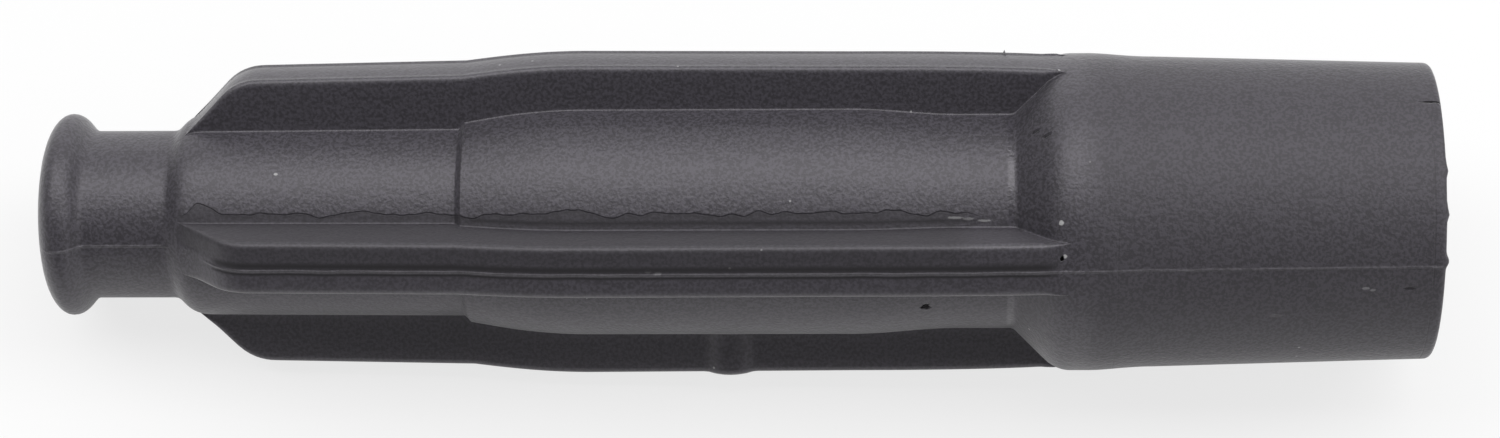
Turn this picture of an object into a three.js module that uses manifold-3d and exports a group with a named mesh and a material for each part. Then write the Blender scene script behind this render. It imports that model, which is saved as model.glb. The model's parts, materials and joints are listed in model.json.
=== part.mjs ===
import * as THREE from 'three';
import Module from 'manifold-3d';
import { mergeVertices } from 'three/addons/utils/BufferGeometryUtils.js';

// A straight spark plug boot, moulded in one piece from rubber.
// Sizes are in millimetres. Stations run along the boot from its lead end, which is station 0.
// Lengths follow one another, and walls stand outside the bores, so each change carries on.

// Bore, from the lead's hole to the wide room round the plug's hexagon
const leadBoreDiameter = 6.8;
const leadBoreLength = 26;
const leadMouthFlare = 0.5;
const leadMouthDepth = 1.2;
const terminalRoomDiameter = 9.2;
const terminalRoomLength = 18;
const insulatorDiameter = 10.6;
const hexRoomDiameter = 19.5;
const hexRoomDepth = 25.9;
const hexMouthFlare = 0.45;
const hexMouthDepth = 1;

// Lead end: a rounded lip on a plain neck
const neckWall = 3.5;
const neckLength = 6.25;
const lipFlare = 1.425;
const lipFaceWidth = 1.4;
const lipFront = 1.8;
const lipBack = 2.2;

// Core between the ribs: a slim stretch, a step, a swell and a full stretch
const shoulderLength = 3.05;
const slimFrontWall = 3.7;
const slimBackWall = 3.825;
const slimLength = 21.5;
const stepHeight = 0.55;
const swellLength = 9.7;
const fullWall = 4.7;
const fullLength = 23.1;
const easeLength = 7.3;
const heelWall = 4.225;
const heelLength = 4.5;

// Plug end: a sleeve with a wider belt and a slight taper, joined to the core by a slope
const slopeAngle = 45;
const beltWall = 3.25;
const beltLength = 2.6;
const beltFade = 5.4;
const waistWall = 2.95;
const mouthWall = 2.35;
const rimRadius = 0.55;
const sleeveLength = 30.4;

// Ribs, evenly spaced; each stand is how far the middle of the tip rises over the core
const ribCount = 4;
const ribWidth = 4.4;
const ribEdgeRadius = 0.55;
const ribEndAngle = 46.8;
const ribSetback = 0.9;
const ribCorner = 1.9;
const ribFrontStand = 4.1;
const ribStepStand = 4.3;
const ribFullStand = 3.5;
const ribEaseStand = 3.36;
const ribRootDepth = 0.7;

// A round boss through one rib, standing a little above its tip
const bossDiameter = 5.8;
const bossAhead = 11.6;
const bossRise = 0.42;
const bossRibIndex = 2;

const turnSegments = 56;
const bossSegments = 28;
const curveSegments = 4;
const edgeSegments = 3;
const mergeTolerance = 1e-4;
const overrun = 1;
const restPasses = 8;

const wasm = await Module();
wasm.setup();

// Radii that follow from the bores and the walls round them
const leadBore = leadBoreDiameter / 2;
const terminalRoom = terminalRoomDiameter / 2;
const insulatorBore = insulatorDiameter / 2;
const hexRoom = hexRoomDiameter / 2;
const neck = leadBore + neckWall;
const lip = neck + lipFlare;
const lipFace = leadBore + leadMouthFlare + lipFaceWidth;
const slimFront = terminalRoom + slimFrontWall;
const slimBack = terminalRoom + slimBackWall;
const full = insulatorBore + fullWall;
const heel = insulatorBore + heelWall;
const belt = hexRoom + beltWall;
const waist = hexRoom + waistWall;
const mouth = hexRoom + mouthWall;

// Stations where one section gives way to the next
const neckStart = lipFront + lipBack;
const shoulderStart = neckStart + neckLength;
const slimStart = shoulderStart + shoulderLength;
const stepStation = slimStart + slimLength;
const fullStart = stepStation + swellLength;
const easeStart = fullStart + fullLength;
const heelStart = easeStart + easeLength;
const slopeStart = heelStart + heelLength;
const slopeRun = (belt - heel) / Math.tan(THREE.MathUtils.degToRad(slopeAngle));
const sleeveStart = slopeStart + slopeRun;
const bootLength = sleeveStart + sleeveLength;

// A closed geometry as a solid that can be joined and cut
function toSolid(geometry) {
  geometry.deleteAttribute('normal');
  geometry.deleteAttribute('uv');
  const merged = mergeVertices(geometry, mergeTolerance);
  const triVerts = [];
  for (let i = 0; i < merged.index.count; i += 3) {
    const [a, b, c] = merged.index.array.slice(i, i + 3);
    if (a !== b && b !== c && c !== a) triVerts.push(a, b, c);
  }
  return new wasm.Manifold(new wasm.Mesh({
    numProp: 3,
    vertProperties: new Float32Array(merged.attributes.position.array),
    triVerts: new Uint32Array(triVerts),
  }));
}

// A path of (radius, station) points turned about the boot's axis
function turned(path) {
  const geometry = new THREE.LatheGeometry(path.getPoints(curveSegments), turnSegments);
  geometry.rotateZ(-Math.PI / 2);
  return toSolid(geometry);
}

// Lip, from the flat face round the lead's hole over the crest and down to the neck
function traceLip(path) {
  path.lineTo(lipFace, 0);
  path.bezierCurveTo(
    (lipFace + lip) / 2, 0,
    lip, lipFront * 0.45,
    lip, lipFront,
  );
  path.bezierCurveTo(
    lip, lipFront + lipBack * 0.56,
    neck, lipFront + lipBack * 0.66,
    neck, neckStart,
  );
}

// Shoulder, slim stretch, step, swell and full stretch, as far as the foot of the slope
function traceCore(path) {
  const step = slimBack + stepHeight;
  path.lineTo(neck, shoulderStart);
  path.bezierCurveTo(
    neck, shoulderStart + shoulderLength * 0.33,
    slimFront, shoulderStart + shoulderLength * 0.31,
    slimFront, slimStart,
  );
  path.lineTo(slimBack, stepStation);
  path.lineTo(step, stepStation);
  path.bezierCurveTo(
    (step + full) / 2, stepStation + swellLength * 0.3,
    full, stepStation + swellLength * 0.6,
    full, fullStart,
  );
  path.lineTo(full, easeStart);
  path.bezierCurveTo(
    full, easeStart + easeLength * 0.45,
    heel, easeStart + easeLength * 0.55,
    heel, heelStart,
  );
  path.lineTo(heel, slopeStart);
}

// Slope with its soft shoulder, then the sleeve out to its rounded rim
function traceSleeve(path) {
  const beltEnd = sleeveStart + beltLength;
  path.lineTo(heel + (belt - heel) * 0.7, slopeStart + slopeRun * 0.7);
  path.quadraticCurveTo(belt, sleeveStart, belt, sleeveStart + slopeRun * 0.35);
  path.lineTo(belt, beltEnd);
  path.bezierCurveTo(
    belt, beltEnd + beltFade * 0.3,
    waist, beltEnd + beltFade * 0.6,
    waist, beltEnd + beltFade,
  );
  path.lineTo(mouth, bootLength - rimRadius);
  path.quadraticCurveTo(mouth, bootLength, mouth - rimRadius, bootLength);
}

// Everything round on the outside, as one solid of revolution
function outerBody() {
  const path = new THREE.Path();
  path.moveTo(0, 0);
  traceLip(path);
  traceCore(path);
  traceSleeve(path);
  path.lineTo(0, bootLength);
  return turned(path);
}

// Side view of one rib: sloping end, rounded corner, tip line, and a root hidden in the core
function ribOutline() {
  const angle = THREE.MathUtils.degToRad(ribEndAngle);
  const root = neck - ribRootDepth;
  const front = slimFront + ribFrontStand;
  const step = slimBack + ribStepStand;
  const top = full + ribFullStand;
  const ease = full + ribEaseStand;
  const stationAt = (height) => shoulderStart + ribSetback + (height - neck) / Math.tan(angle);
  const corner = stationAt(front);
  const buried = sleeveStart + beltLength * 0.8;
  const outline = new THREE.Shape();
  outline.moveTo(stationAt(root), root);
  outline.lineTo(corner - ribCorner * Math.cos(angle), front - ribCorner * Math.sin(angle));
  outline.quadraticCurveTo(corner, front, corner + ribCorner, front);
  outline.lineTo(stepStation, step);
  outline.bezierCurveTo(
    stepStation + swellLength * 0.3, (step + top) / 2,
    stepStation + swellLength * 0.6, top,
    fullStart, top,
  );
  outline.lineTo(easeStart, ease);
  outline.quadraticCurveTo(heelStart + heelLength / 2, ease, sleeveStart, belt);
  outline.lineTo(buried, belt - ribEdgeRadius);
  outline.lineTo(buried, root);
  outline.closePath();
  return outline;
}

// One rib with rounded edges, standing on the axis at the given turn
function rib(turn) {
  const geometry = new THREE.ExtrudeGeometry(ribOutline(), {
    depth: ribWidth - 2 * ribEdgeRadius,
    curveSegments,
    bevelSize: ribEdgeRadius,
    bevelOffset: -ribEdgeRadius,
    bevelThickness: ribEdgeRadius,
    bevelSegments: edgeSegments,
  });
  geometry.translate(0, 0, ribEdgeRadius - ribWidth / 2);
  geometry.rotateX(turn);
  return toSolid(geometry);
}

// The boss: a round post with a domed end, standing along a rib
function boss(turn) {
  const radius = bossDiameter / 2;
  const top = full + ribFullStand;
  const path = new THREE.Path();
  path.moveTo(0, neck);
  path.lineTo(radius, neck);
  path.lineTo(radius, top - ribEdgeRadius / 2);
  path.quadraticCurveTo(radius * 0.6, top + bossRise, 0, top + bossRise);
  const geometry = new THREE.LatheGeometry(path.getPoints(curveSegments), bossSegments);
  geometry.translate(fullStart + bossAhead, 0, 0);
  geometry.rotateX(turn);
  return toSolid(geometry);
}

// The stepped bore, run past both ends so that it cuts clean through
function bore() {
  const terminalStart = leadBoreLength + terminalRoom - leadBore;
  const terminalEnd = leadBoreLength + terminalRoomLength;
  const hexStart = bootLength - hexRoomDepth;
  const path = new THREE.Path();
  path.moveTo(0, -overrun);
  path.lineTo(leadBore + leadMouthFlare, -overrun);
  path.lineTo(leadBore + leadMouthFlare, 0);
  path.lineTo(leadBore, leadMouthDepth);
  path.lineTo(leadBore, leadBoreLength);
  path.lineTo(terminalRoom, terminalStart);
  path.lineTo(terminalRoom, terminalEnd);
  path.lineTo(insulatorBore, terminalEnd + insulatorBore - terminalRoom);
  path.lineTo(insulatorBore, hexStart - (hexRoom - insulatorBore));
  path.lineTo(hexRoom, hexStart);
  path.lineTo(hexRoom, bootLength - hexMouthDepth);
  path.lineTo(hexRoom + hexMouthFlare, bootLength);
  path.lineTo(hexRoom + hexMouthFlare, bootLength + overrun);
  path.lineTo(0, bootLength + overrun);
  return turned(path);
}

// Core, ribs and boss joined, then bored through; two ribs point half a pitch off the floor
function bootSolid() {
  const pitch = (2 * Math.PI) / ribCount;
  let solid = outerBody();
  for (let i = 0; i < ribCount; i += 1) {
    solid = solid.add(rib(pitch * (i + 0.5)));
  }
  return solid.add(boss(pitch * (bossRibIndex + 0.5))).subtract(bore());
}

// The lowest of the given points, after a turn of the angle about Y
function lowest(points, angle) {
  const height = (p) => p.x * Math.sin(angle) + p.z * Math.cos(angle);
  return points.reduce((best, p) => (height(p) < height(best) ? p : best));
}

// The small angle at which the boot lies, on the front corners of two ribs and on its belt
function restAngle(geometry) {
  const position = geometry.attributes.position;
  const points = Array.from({ length: position.count }, (_, i) =>
    new THREE.Vector3().fromBufferAttribute(position, i));
  const front = points.filter((p) => p.x < bootLength / 2);
  const rear = points.filter((p) => p.x >= bootLength / 2);
  let angle = 0;
  for (let pass = 0; pass < restPasses; pass += 1) {
    const a = lowest(front, angle);
    const b = lowest(rear, angle);
    angle = Math.atan2(a.z - b.z, b.x - a.x);
  }
  return angle;
}

// The solid as a geometry, laid down as it rests, its origin at the middle of its base
function laidDown(solid) {
  const { vertProperties, triVerts } = solid.getMesh();
  const geometry = new THREE.BufferGeometry();
  geometry.setAttribute('position', new THREE.BufferAttribute(vertProperties, 3));
  geometry.setIndex(new THREE.BufferAttribute(triVerts, 1));
  geometry.rotateY(-restAngle(geometry));
  geometry.computeBoundingBox();
  const box = geometry.boundingBox;
  geometry.translate(-(box.min.x + box.max.x) / 2, -(box.min.y + box.max.y) / 2, -box.min.z);
  geometry.computeVertexNormals();
  return geometry;
}

const bootRubber = new THREE.MeshStandardMaterial({
  color: 0x47454b,
  roughness: 0.72,
  metalness: 0,
});

const rubberBoot = new THREE.Mesh(laidDown(bootSolid()), bootRubber);
rubberBoot.name = 'rubber_boot';

const sparkPlugCap = new THREE.Group();
sparkPlugCap.add(rubberBoot);

export default sparkPlugCap;
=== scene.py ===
"""Looks of a straight spark plug boot, one piece of moulded charcoal rubber.

The boot is worked out in millimetres along its own axis, with station 0 at the lead end,
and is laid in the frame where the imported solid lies.
"""

import json
import logging
import math
from bisect import bisect_right
from dataclasses import dataclass, field
from enum import Enum

import bmesh
import bpy
from mathutils import Matrix, Vector, noise


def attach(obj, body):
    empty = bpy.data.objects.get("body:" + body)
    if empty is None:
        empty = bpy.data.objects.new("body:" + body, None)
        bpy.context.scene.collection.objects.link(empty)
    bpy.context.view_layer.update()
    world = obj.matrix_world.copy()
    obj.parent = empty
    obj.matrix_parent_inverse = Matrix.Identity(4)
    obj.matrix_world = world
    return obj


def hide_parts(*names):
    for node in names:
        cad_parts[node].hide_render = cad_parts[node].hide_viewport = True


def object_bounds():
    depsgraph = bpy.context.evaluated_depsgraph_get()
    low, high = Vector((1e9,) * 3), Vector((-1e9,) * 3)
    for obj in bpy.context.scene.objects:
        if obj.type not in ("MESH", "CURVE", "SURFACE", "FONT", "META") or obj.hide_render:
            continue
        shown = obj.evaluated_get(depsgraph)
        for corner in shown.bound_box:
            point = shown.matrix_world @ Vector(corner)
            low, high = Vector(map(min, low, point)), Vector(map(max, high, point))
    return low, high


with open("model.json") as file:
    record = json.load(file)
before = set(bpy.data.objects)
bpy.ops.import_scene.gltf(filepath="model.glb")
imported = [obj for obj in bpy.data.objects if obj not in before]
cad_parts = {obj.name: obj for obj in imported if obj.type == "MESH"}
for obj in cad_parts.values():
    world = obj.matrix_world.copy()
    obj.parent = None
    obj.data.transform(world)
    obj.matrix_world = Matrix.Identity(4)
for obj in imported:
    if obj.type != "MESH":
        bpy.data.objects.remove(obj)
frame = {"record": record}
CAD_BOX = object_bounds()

LOG = logging.getLogger("boot")
MM = 0.001
NODE = "rubber_boot"
BODY = "root"

Point = tuple[float, float]
Colour = tuple[float, ...]
Socket = bpy.types.NodeSocket
NUMBER, VECTOR = "NodeSocketFloat", "NodeSocketVector"


class Mark(Enum):
    """Values kept on each vertex for the material, each named as in SectionPoint."""

    RIB = "rib_side"
    EDGE = "worn_edge"
    FLASH = "flash_line"
    # Shade painted beside the flash line, in its groove and at the parting rib's root.
    SHADE = "shaded_side"


@dataclass(frozen=True)
class BootSizes:
    """Driving sizes of the boot in millimetres, with the shares that bend its curves.

    The step's face, the draw-in before the heel and the slope's foot are finer than in the
    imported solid, and the rest is as there.
    """

    lead_bore: float = 3.4
    lead_bore_length: float = 26.0
    lead_mouth_flare: float = 0.5
    lead_mouth_depth: float = 1.2
    terminal_room: float = 4.6
    terminal_room_length: float = 18.0
    insulator_bore: float = 5.3
    hex_room: float = 9.75
    hex_room_depth: float = 25.9
    hex_mouth_flare: float = 0.45
    hex_mouth_depth: float = 1.0
    lip_face: float = 5.3
    lip: float = 8.325
    lip_front: float = 1.8
    lip_back: float = 2.2
    lip_bend: float = 0.45
    neck: float = 6.9
    neck_length: float = 6.25
    shoulder_length: float = 3.05
    slim_front: float = 8.3
    slim_back: float = 8.425
    slim_length: float = 21.5
    step_height: float = 0.55
    step_round: float = 0.12
    step_run: float = 0.42
    step_lean: float = 0.8
    swell_length: float = 9.7
    swell_bend: Point = (0.3, 0.6)
    full: float = 10.0
    full_length: float = 21.8
    ease_length: float = 8.6
    heel: float = 9.525
    heel_length: float = 4.5
    slope_fillet: float = 0.35
    fillet_rise: float = 0.7
    slope_run: float = 3.475
    slope_straight: float = 0.7
    shoulder_bend: float = 0.35
    belt: float = 13.0
    belt_length: float = 2.6
    belt_fade: float = 5.4
    waist: float = 12.7
    mouth: float = 12.1
    mouth_length: float = 1.4
    mouth_draft: float = 0.02
    rim_round: float = 0.55
    sleeve_length: float = 30.4

    @property
    def neck_start(self) -> float:
        """Station where the lip has come down to the neck."""
        return self.lip_front + self.lip_back

    @property
    def shoulder_start(self) -> float:
        """Station where the neck starts to widen."""
        return self.neck_start + self.neck_length

    @property
    def slim_start(self) -> float:
        """Station where the slim stretch begins."""
        return self.shoulder_start + self.shoulder_length

    @property
    def step_station(self) -> float:
        """Station of the sharp step."""
        return self.slim_start + self.slim_length

    @property
    def full_start(self) -> float:
        """Station where the core reaches its full width."""
        return self.step_station + self.swell_length

    @property
    def ease_start(self) -> float:
        """Station where the core starts to draw in."""
        return self.full_start + self.full_length

    @property
    def heel_start(self) -> float:
        """Station where the core has drawn in to its heel."""
        return self.ease_start + self.ease_length

    @property
    def slope_start(self) -> float:
        """Station at the foot of the slope up to the sleeve."""
        return self.heel_start + self.heel_length

    @property
    def sleeve_start(self) -> float:
        """Station at the top of the slope."""
        return self.slope_start + self.slope_run

    @property
    def length(self) -> float:
        """Length of the boot along its axis."""
        return self.sleeve_start + self.sleeve_length


@dataclass(frozen=True)
class RibSizes:
    """Sizes of the four ribs, the boss and a nub, in millimetres, degrees and shares.

    Where a rib is low, its edge and its root fillet keep to the shares of its height that
    low_edge and low_fillet say.
    """

    turns: tuple[float, ...] = (45.0, 135.0, 225.0, 315.0)
    width: float = 4.4
    edge: float = 0.55
    root_fillet: float = 0.15
    low_edge: float = 0.4
    low_fillet: float = 0.5
    end_angle: float = 46.8
    setback: float = 0.9
    corner: float = 1.9
    front: float = 12.4
    step: float = 12.725
    full: float = 13.5
    ease: float = 13.36
    run_out: float = 0.8
    tip_crown: float = 0.13
    tip_blend: float = 0.12
    smooth_height: Point = (0.1, 1.2)
    worn_share: float = 0.8
    worn_top: float = 0.25
    bore_share: float = 0.32
    boss_rib: int = 2
    boss_station: float = 56.1
    boss_radius: float = 2.9
    boss_rise: float = 0.42
    parting_ribs: tuple[int, ...] = (1, 3)
    nub_rib: int = 0
    nub_station: float = 78.7
    nub_height: float = 0.42
    nub_width: float = 0.13


@dataclass(frozen=True)
class PartingSizes:
    """The thin flash ridge, and the fine groove beside it, on the mould's parting plane.

    A rise or a fall is the pair of stations over which a form fades in or out.
    """

    ridge_height: float = 0.08
    ridge_width: float = 0.08
    ridge_offset: float = 0.13
    ridge_rise: Point = (0.2, 1.4)
    ridge_fall: float = 0.4
    bare_rise: Point = (10.4, 11.0)
    bare_fall: Point = (14.9, 14.3)
    wander: float = 0.05
    wander_pace: float = 0.35
    uneven: float = 0.45
    uneven_pace: float = 1.7
    uneven_layer: float = 3.0
    rib_apart: float = 7.0
    groove_offset: float = 0.3
    groove_depth: float = 0.03
    groove_width: float = 0.13
    groove_rise: Point = (14.6, 15.6)
    groove_fall: Point = (83.5, 81.5)
    # Where shade is painted on the tip beside the flash line, and along the parting rib's root.
    shade_offset: float = -0.28
    shade_width: float = 0.34
    root_shade: float = 0.9
    root_rise: float = 1.0
    root_fall: Point = (78.0, 74.0)


@dataclass(frozen=True)
class RimSizes:
    """Small tags of rubber left on the sleeve's rim, as (turn, height), and their width."""

    tags: tuple[Point, ...] = ((98.0, 0.16), (115.0, 0.2), (134.0, 0.24), (303.0, 0.15))
    width: float = 2.2
    depth: float = 0.7


@dataclass(frozen=True)
class MeshSteps:
    """How finely each stretch is divided: numbers of pieces, and spacings in millimetres."""

    panel: int = 24
    fillet: int = 4
    wall: int = 4
    edge: int = 4
    curve: int = 10
    long_curve: int = 20
    heel_curve: int = 16
    step_corner: int = 3
    slope_fillet: int = 6
    rim: int = 5
    tip_corner: int = 12
    tip_curve: int = 24
    along: float = 0.45
    face: float = 0.4
    slope: float = 0.35
    sleeve: float = 0.6
    fine: float = 0.2
    bore: float = 4.0


class Outline:
    """A line of (station, radius) points, drawn with straight and curved stretches."""

    def __init__(self, start: Point) -> None:
        """Starts the line.

        Args:
            start: The first (station, radius) point.
        """
        self.points: list[Point] = [start]

    def line(self, end: Point, spacing: float = math.inf) -> None:
        """Adds a straight stretch.

        Args:
            end: Its last point.
            spacing: The longest distance between two of its points, if there is a limit.
        """
        start = self.points[-1]
        steps = max(1, math.ceil(math.dist(start, end) / spacing))
        for i in range(1, steps + 1):
            t = i / steps
            self.points.append(tuple(a + (b - a) * t for a, b in zip(start, end)))

    def quad(self, control: Point, end: Point, steps: int) -> None:
        """Adds a quadratic curve.

        Args:
            control: Its control point.
            end: Its last point.
            steps: How many pieces it is divided into.
        """
        start = self.points[-1]
        for i in range(1, steps + 1):
            self.points.append(quadratic(start, control, end, i / steps))

    def cubic(self, first: Point, second: Point, end: Point, steps: int) -> None:
        """Adds a cubic curve.

        Args:
            first: Its first control point.
            second: Its second control point.
            end: Its last point.
            steps: How many pieces it is divided into.
        """
        corners = (self.points[-1], first, second, end)
        for i in range(1, steps + 1):
            t = i / steps
            shares = ((1 - t) ** 3, 3 * t * (1 - t) ** 2, 3 * t * t * (1 - t), t**3)
            spot = (sum(k * c for k, c in zip(shares, axis)) for axis in zip(*corners))
            self.points.append(tuple(spot))

    def ease(self, end: Point, leave: float, arrive: float, steps: int) -> None:
        """Adds a curve that leaves and arrives level with the axis.

        Args:
            end: Its last point.
            leave: Share of its run at which the first control point lies.
            arrive: Share of its run at which the second control point lies.
            steps: How many pieces it is divided into.
        """
        station, radius = self.points[-1]
        run = end[0] - station
        self.cubic((station + run * leave, radius), (station + run * arrive, end[1]), end, steps)


def quadratic(start: Point, control: Point, end: Point, t: float) -> Point:
    """Point of a quadratic curve.

    Args:
        start: First point.
        control: Control point.
        end: Last point.
        t: Share of the way, from 0 to 1.

    Returns:
        The point there.
    """
    a, b, c = (1 - t) ** 2, 2 * t * (1 - t), t * t
    return tuple(a * p + b * q + c * r for p, q, r in zip(start, control, end))


def smooth_share(low: float, high: float, value: float) -> float:
    """Soft step.

    Args:
        low: Value at which the step begins.
        high: Value at which it is complete.
        value: The value asked for.

    Returns:
        The share, from 0 to 1.
    """
    t = min(1.0, max(0.0, (value - low) / (high - low)))
    return t * t * (3 - 2 * t)


def stretch_share(value: float, rise: Point, fall: Point) -> float:
    """Share of a stretch that fades in over its rise and out over its fall."""
    return smooth_share(*rise, value) * smooth_share(*fall, value)


def hump(value: float, centre: float, width: float) -> float:
    """A bell of height 1 round a centre."""
    return math.exp(-(((value - centre) / width) ** 2))


def soft_max(a: float, b: float, blend: float) -> float:
    """The larger of two heights, rounded where they meet."""
    return 0.5 * (a + b + math.sqrt((a - b) ** 2 + blend**2))


@dataclass(frozen=True)
class Ring:
    """One turn round the axis: its station, the core's radius and which side it is on."""

    station: float
    radius: float
    outside: bool


@dataclass
class BootOutlines:
    """Traces the boot's outside, its ribs' tips and its bore."""

    size: BootSizes
    rib: RibSizes
    steps: MeshSteps

    def trace_lip(self, line: Outline) -> None:
        """Lip, from the flat face over the crest to the neck.

        Args:
            line: The outline so far.
        """
        s, n = self.size, self.steps.curve
        line.line((0.0, s.lip_face), self.steps.face)
        first, second = (0.0, (s.lip_face + s.lip) / 2), (s.lip_front * s.lip_bend, s.lip)
        line.cubic(first, second, (s.lip_front, s.lip), n)
        line.ease((s.neck_start, s.neck), leave=0.56, arrive=0.66, steps=n)

    def trace_core(self, line: Outline) -> None:
        """Neck, shoulder, slim stretch, step, swell, full stretch and heel.

        Args:
            line: The outline so far.
        """
        s, gap, corner = self.size, self.steps.along, self.steps.step_corner
        line.line((s.shoulder_start, s.neck), gap)
        line.ease((s.slim_start, s.slim_front), leave=0.33, arrive=0.31, steps=self.steps.curve)
        foot, top, soft = s.slim_back, s.slim_back + s.step_height, s.step_round
        face = s.step_station - s.step_run
        line.line((face - soft, foot), gap)
        line.quad((face, foot), (s.step_station - s.step_run * s.step_lean, foot + soft), corner)
        line.line((s.step_station, top - soft), self.steps.fine)
        line.quad((s.step_station, top), (s.step_station + soft, top), corner)
        self.trace_swell(line, top, s.full, self.steps.long_curve)
        line.line((s.ease_start, s.full), gap)
        line.ease((s.heel_start, s.heel), leave=0.33, arrive=0.67, steps=self.steps.heel_curve)

    def trace_swell(self, line: Outline, low: float, high: float, steps: int) -> None:
        """The swell after the step, of the core or of a rib's tip.

        Args:
            line: The outline so far.
            low: Radius on top of the step.
            high: Radius at the end of the swell.
            steps: How many pieces it is divided into.
        """
        s = self.size
        first, second = (s.step_station + s.swell_length * share for share in s.swell_bend)
        line.cubic((first, (low + high) / 2), (second, high), (s.full_start, high), steps)

    def trace_sleeve(self, line: Outline) -> None:
        """Slope with its soft foot and shoulder, belt, sleeve and rounded rim.

        Args:
            line: The outline so far.
        """
        s, gap = self.size, self.steps.along
        nub, wide = self.rib.nub_station, self.rib.nub_width
        for station in (nub - wide, nub, nub + wide, s.slope_start - s.slope_fillet):
            line.line((station, s.heel), gap)
        rise = s.slope_fillet * s.fillet_rise
        foot_end = (s.slope_start + rise, s.heel + rise)
        line.quad((s.slope_start, s.heel), foot_end, self.steps.slope_fillet)
        straight = s.slope_straight
        slope_end = (s.slope_start + s.slope_run * straight, s.heel + (s.belt - s.heel) * straight)
        line.line(slope_end, self.steps.slope)
        shoulder_end = (s.sleeve_start + s.slope_run * s.shoulder_bend, s.belt)
        line.quad((s.sleeve_start, s.belt), shoulder_end, self.steps.curve)
        belt_end = s.sleeve_start + s.belt_length
        line.line((belt_end, s.belt), gap)
        waist = (belt_end + s.belt_fade, s.waist)
        line.ease(waist, leave=0.3, arrive=0.6, steps=self.steps.long_curve)
        line.line((s.length - s.mouth_length, s.mouth + s.mouth_draft), self.steps.sleeve)
        line.line((s.length - s.rim_round, s.mouth), self.steps.fine)
        line.quad((s.length, s.mouth), (s.length, s.mouth - s.rim_round), self.steps.rim)

    def trace_bore(self, line: Outline) -> None:
        """The bore, from the plug's mouth back to the lead's hole.

        Args:
            line: The outline so far.
        """
        s = self.size
        hex_start = s.length - s.hex_room_depth
        terminal_end = s.lead_bore_length + s.terminal_room_length
        terminal_start = s.lead_bore_length + s.terminal_room - s.lead_bore
        corners = (
            (s.length, s.hex_room + s.hex_mouth_flare),
            (s.length - s.hex_mouth_depth, s.hex_room),
            (hex_start, s.hex_room),
            (hex_start - (s.hex_room - s.insulator_bore), s.insulator_bore),
            (terminal_end + s.insulator_bore - s.terminal_room, s.insulator_bore),
            (terminal_end, s.terminal_room),
            (terminal_start, s.terminal_room),
            (s.lead_bore_length, s.lead_bore),
            (s.lead_mouth_depth, s.lead_bore),
            (0.0, s.lead_bore + s.lead_mouth_flare),
        )
        for corner in corners:
            line.line(corner, self.steps.bore)

    def rings(self) -> list[Ring]:
        """All turns of the closed wall, outside first and then back through the bore.

        Returns:
            The rings. The last is the same as the first, so that the wall closes without a seam.
        """
        line = Outline((0.0, self.size.lead_bore + self.size.lead_mouth_flare))
        self.trace_lip(line)
        self.trace_core(line)
        self.trace_sleeve(line)
        outside = len(line.points)
        self.trace_bore(line)
        rings = [Ring(*point, i < outside) for i, point in enumerate(line.points)]
        return rings[:-1] + [rings[0]]

    def rib_tip(self) -> Outline:
        """The line of a rib's tip, from where it leaves the neck to where it sinks in.

        Returns:
            The line.
        """
        s, rib, n = self.size, self.rib, self.steps.tip_curve
        angle = math.radians(rib.end_angle)
        start = s.shoulder_start + rib.setback
        corner = start + (rib.front - s.neck) / math.tan(angle)
        line = Outline((start, s.neck))
        back, down = rib.corner * math.cos(angle), rib.corner * math.sin(angle)
        line.line((corner - back, rib.front - down))
        line.quad((corner, rib.front), (corner + rib.corner, rib.front), self.steps.tip_corner)
        line.line((s.step_station, rib.step))
        self.trace_swell(line, rib.step, rib.full, n)
        line.line((s.ease_start, rib.ease))
        line.quad((s.heel_start + s.heel_length / 2, rib.ease), (s.sleeve_start, s.belt), n)
        line.line((s.sleeve_start + s.belt_length * rib.run_out, s.belt - rib.edge))
        return line


@dataclass
class SectionPoint:
    """One point of a section across the boot, with its marks for the material."""

    station: float
    y: float
    z: float
    rib: float
    edge: float
    flash: float
    # Shade painted at this point, from 0 to 1.
    shade: float


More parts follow.
